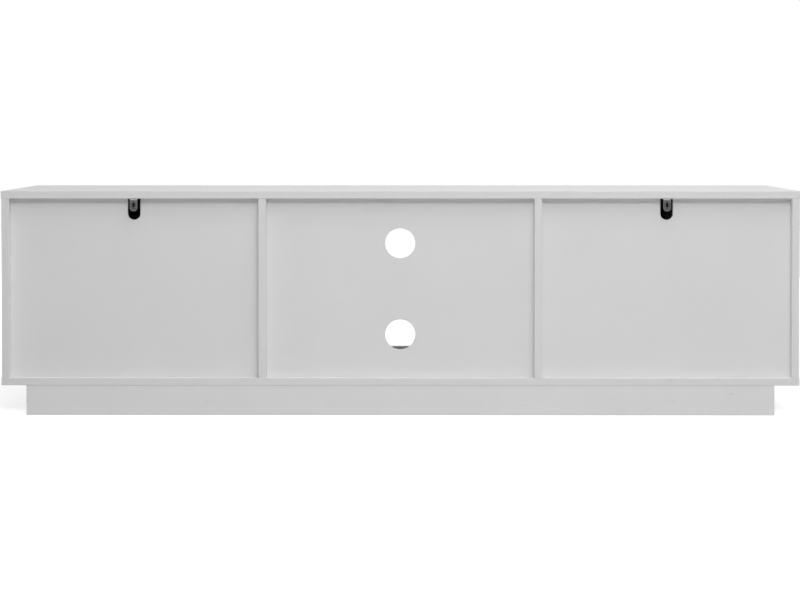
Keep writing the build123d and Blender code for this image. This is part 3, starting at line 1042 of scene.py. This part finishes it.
@dataclass(frozen=True)
class SoftBox:
    """A studio lamp behind a diffusing cloth, which may be flagged off so that it leaves no mirror image."""

    name: str
    place: Place
    width: float
    height: float
    watts: float
    mirrored: bool = True
    aim: Place = LAMP_AIM

    def hang(self) -> None:
        """Put the lamp in the scene, facing what it lights."""
        data = bpy.data.lights.new(self.name, "AREA")
        data.shape = "RECTANGLE"
        data.size = self.width
        data.size_y = self.height
        data.energy = self.watts
        lamp = bpy.data.objects.new(self.name, data)
        lamp.visible_glossy = self.mirrored
        lamp.location = self.place
        lamp.rotation_euler = (Vector(self.aim) - Vector(self.place)).to_track_quat("-Z", "Y").to_euler()
        bpy.context.scene.collection.objects.link(lamp)


@dataclass
class Studio:
    """White studio: a pale floor, an even surround and soft lamps."""

    floor_size: float = 14.0
    floor_gap: float = 0.2 * MM
    floor_colour: str = "#D4D4D4"
    floor_grain_mm: float = 40.0
    floor_roughness: Span = (0.2, 0.6)
    # The floor glows less round the stand, where it takes the shadow, and fades to white further off.
    floor_glow: Span = (0.7, 1.0)
    glow_reach: Span = (1.0, 2.6)
    surround: float = 0.17
    lamps: tuple[SoftBox, ...] = (
        SoftBox("key_strip", (-0.55, 4.05, 2.43), 1.6, 0.3, 48.0, mirrored=False),
        SoftBox("rear_box", (-0.45, 2.72, 2.44), 3.0, 1.1, 11.5, mirrored=False),
        SoftBox("high_box", (-0.31, 1.91, 2.9), 3.0, 2.0, 19.5),
        SoftBox("over_box", (-0.85, 0.75, 2.9), 2.6, 0.9, 25.0),
        SoftBox("front_fill", (-1.6, -3.4, 0.62), 3.2, 0.9, 70.0, mirrored=False),
        SoftBox("side_fill", (3.4, -0.6, 0.7), 2.0, 1.0, 14.0, mirrored=False, aim=(0.8, 0.0, 0.22)),
    )

    def build(self) -> None:
        """Lay the floor, light the surround and hang the lamps."""
        bpy.context.scene.view_settings.view_transform = "Standard"
        self.lay_floor()
        self.light_surround()
        for lamp in self.lamps:
            lamp.hang()

    def seen(self, tree: NodeTree) -> Socket:
        """Tell rays that look at the studio itself, straight, mirrored or through a clear piece.

        Args:
            tree: Node tree of the floor or the surround.

        Returns:
            1 for such a ray, and 0 for one that only carries light.
        """
        looks = add_node(tree, "LightPath", output="Is Camera Ray")
        for other in ("Is Glossy Ray", "Is Transmission Ray"):
            also = add_node(tree, "LightPath", output=other)
            looks = add_node(tree, "Math", (looks, also), operation="MAXIMUM")
        return looks

    def lay_floor(self) -> None:
        """Lay a matt pale floor that reads as white but still takes the stand's shadow."""
        half = self.floor_size / 2
        data = bpy.data.meshes.new("studio_floor")
        corners = [(-half, -half, 0), (half, -half, 0), (half, half, 0), (-half, half, 0)]
        data.from_pydata(corners, [], [(0, 1, 2, 3)])
        floor = bpy.data.objects.new("studio_floor", data)
        floor.location.z = CAD_BOX[0].z - self.floor_gap
        bpy.context.scene.collection.objects.link(floor)
        pattern = Pattern("studio_floor")
        add = pattern.add
        rough = add("MapRange", (pattern.marks(self.floor_grain_mm, 2.0), 0.0, 1.0, *self.floor_roughness))
        matt = add("BsdfDiffuse", {"Color": linear(self.floor_colour), "Roughness": rough})
        away = add("VectorMath", (pattern.place,), "Value", operation="LENGTH")
        fade = add("MapRange", (away, *self.glow_reach, *self.floor_glow))
        seen = self.seen(pattern.material.node_tree)
        glow = add("Emission", {"Strength": add("Math", (seen, fade), operation="MULTIPLY")})
        add("OutputMaterial", {"Surface": add("AddShader", (matt, glow))})
        data.materials.append(pattern.material)

    def light_surround(self) -> None:
        """Light the stand evenly from all round, and show white where the surround itself is seen."""
        world = bpy.data.worlds.new("studio_surround")
        world.use_nodes = True
        tree = world.node_tree
        tree.nodes.clear()
        light, white = (
            add_node(tree, "Background", {"Color": (1, 1, 1, 1), "Strength": strength})
            for strength in (self.surround, 1.0)
        )
        mixed = add_node(tree, "MixShader", (self.seen(tree), light, white))
        add_node(tree, "OutputWorld", {"Surface": mixed})
        bpy.context.scene.world = world


@dataclass
class PhotoCamera:
    """Camera behind the stand, where the photograph was taken from; its turns are in degrees."""

    place: Place = (-0.0181, 4.2324, 0.5776)
    turn: float = 0.262
    down: float = 1.219
    lens: float = 90.76
    sensor: float = 36.0
    rise: float = -0.1622
    reach: float = 100.0

    def stand(self) -> None:
        """Put the camera in the scene, looking at the rear of the stand."""
        data = bpy.data.cameras.new("photo_camera")
        data.lens = self.lens
        data.sensor_width = self.sensor
        data.sensor_fit = "HORIZONTAL"
        data.shift_y = self.rise
        data.clip_end = self.reach
        camera = bpy.data.objects.new("photo_camera", data)
        turn = math.radians(self.turn)
        down = math.radians(self.down)
        level = math.cos(down)
        ahead = Vector((math.sin(turn) * level, -math.cos(turn) * level, -math.sin(down)))
        camera.location = self.place
        camera.rotation_euler = ahead.to_track_quat("-Z", "Y").to_euler()
        bpy.context.scene.collection.objects.link(camera)
        bpy.context.scene.camera = camera


def main() -> None:
    """Make the stand's pieces in order, then the studio and the camera."""
    logging.basicConfig(level=logging.INFO, format="%(name)s: %(message)s")
    assemblies: tuple[SubAssembly, ...] = (
        Boards(), BackPanels(), WallAnchors(), DoorBumpers(), Hinges(), PushLatches(), Fasteners(),
    )
    for assembly in assemblies:
        for piece in assembly.make():
            LOG.info("%s: %s", type(assembly).__name__, piece)
    Studio().build()
    PhotoCamera().stand()


if __name__ == "__main__":
    main()
